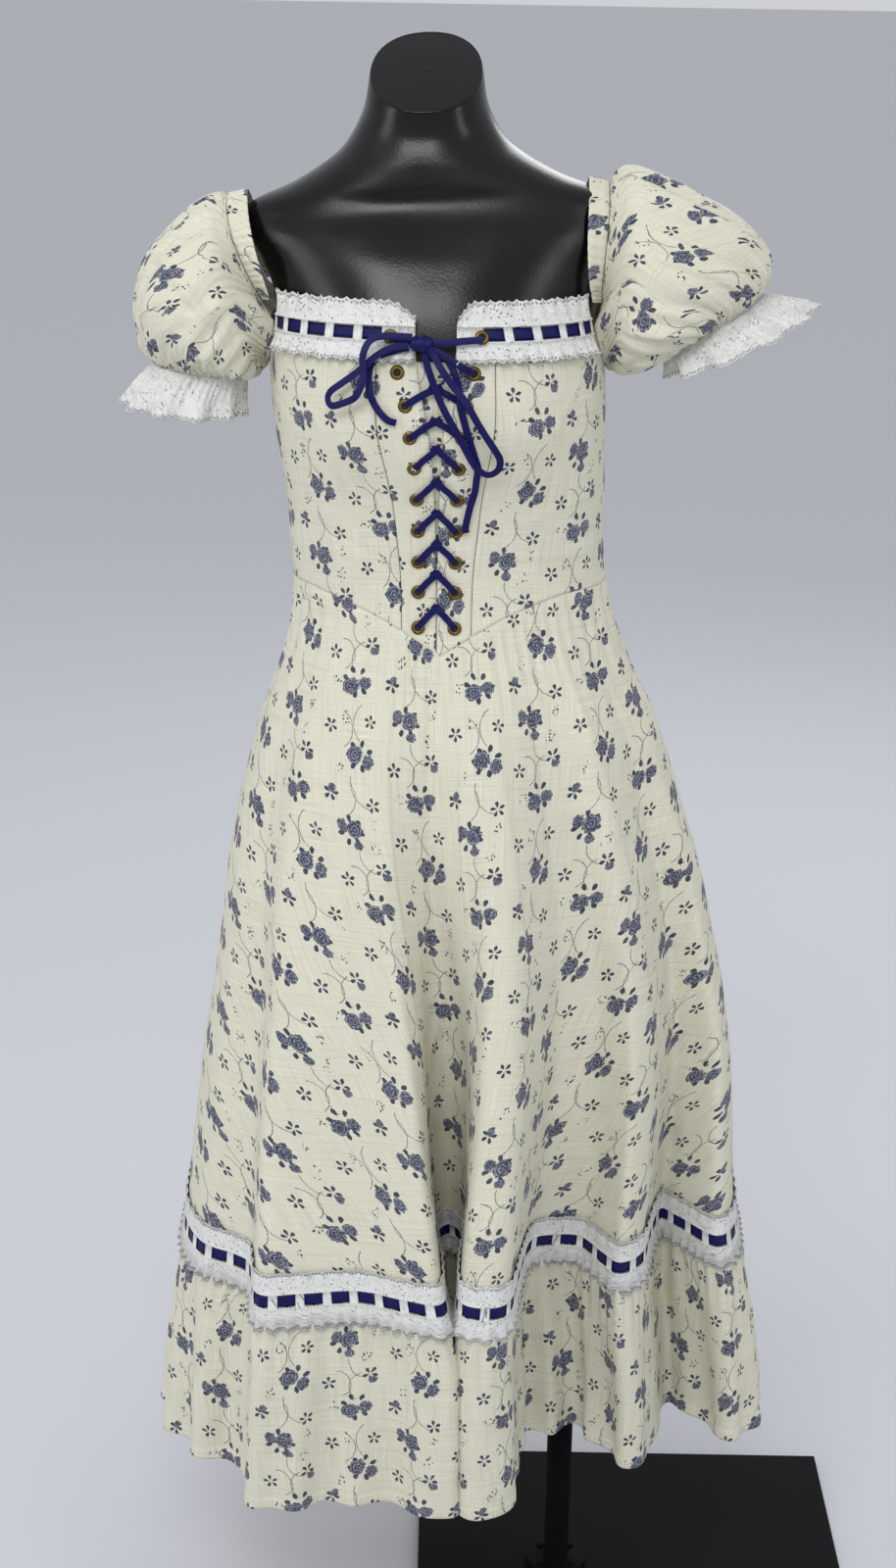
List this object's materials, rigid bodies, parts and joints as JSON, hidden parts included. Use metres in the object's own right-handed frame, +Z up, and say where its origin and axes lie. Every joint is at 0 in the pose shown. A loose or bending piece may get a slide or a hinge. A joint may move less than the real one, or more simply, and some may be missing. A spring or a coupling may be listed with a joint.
{
  "type": "corset dress on dress form",
  "caption": "Puff-sleeved corset dress in sprigged linen with a laced front, ribbon-threaded lace and a gathered flounce, on a black dress form and stand.",
  "frame": {"origin": "on the floor, on the axis of the stand's pole", "axes": "+Z up, the front of the dress faces -Y, the wearer's right side is at -X"},
  "size_m": [0.7094, 0.4816, 1.506],
  "materials": {
    "printed_linen": "matte",
    "cotton_lace": "matte",
    "satin_ribbon": "satin",
    "antique_brass": "satin",
    "black_gloss_shell": "gloss",
    "black_painted_steel": "satin"
  },
  "bodies": {
    "root": {"back_panel": "printed_linen", "base_plate": "black_painted_steel", "bow_knot": "satin_ribbon", "bow_loop_left": "satin_ribbon", "bow_loop_right": "satin_ribbon", "bow_tail_left": "satin_ribbon", "bow_tail_right": "satin_ribbon", "casing_left": "printed_linen", "casing_right": "printed_linen", "cuff_ruffle_left": "cotton_lace", "cuff_ruffle_right": "cotton_lace", "dress_form": "black_gloss_shell", "eyelet_left_01": "antique_brass", "eyelet_left_02": "antique_brass", "eyelet_left_03": "antique_brass", "eyelet_left_04": "antique_brass", "eyelet_left_05": "antique_brass", "eyelet_left_06": "antique_brass", "eyelet_left_07": "antique_brass", "eyelet_left_08": "antique_brass", "eyelet_left_09": "antique_brass", "eyelet_left_10": "antique_brass", "eyelet_right_01": "antique_brass", "eyelet_right_02": "antique_brass", "eyelet_right_03": "antique_brass", "eyelet_right_04": "antique_brass", "eyelet_right_05": "antique_brass", "eyelet_right_06": "antique_brass", "eyelet_right_07": "antique_brass", "eyelet_right_08": "antique_brass", "eyelet_right_09": "antique_brass", "eyelet_right_10": "antique_brass", "flounce_back": "printed_linen", "flounce_front": "printed_linen", "front_panel_left": "printed_linen", "front_panel_right": "printed_linen", "hem_lace_back": "cotton_lace", "hem_lace_front": "cotton_lace", "hem_ribbon_back": "satin_ribbon", "hem_ribbon_front": "satin_ribbon", "lacing_01": "satin_ribbon", "lacing_02": "satin_ribbon", "lacing_03": "satin_ribbon", "lacing_04": "satin_ribbon", "lacing_05": "satin_ribbon", "lacing_06": "satin_ribbon", "lacing_07": "satin_ribbon", "lacing_08": "satin_ribbon", "lacing_placket": "printed_linen", "neck_lace_left": "cotton_lace", "neck_lace_right": "cotton_lace", "neck_ribbon_left": "satin_ribbon", "neck_ribbon_right": "satin_ribbon", "side_panel_left": "printed_linen", "side_panel_right": "printed_linen", "skirt_back": "printed_linen", "skirt_front": "printed_linen", "sleeve_left": "printed_linen", "sleeve_right": "printed_linen", "stand_pole": "black_painted_steel"}
  },
  "joints": []
}
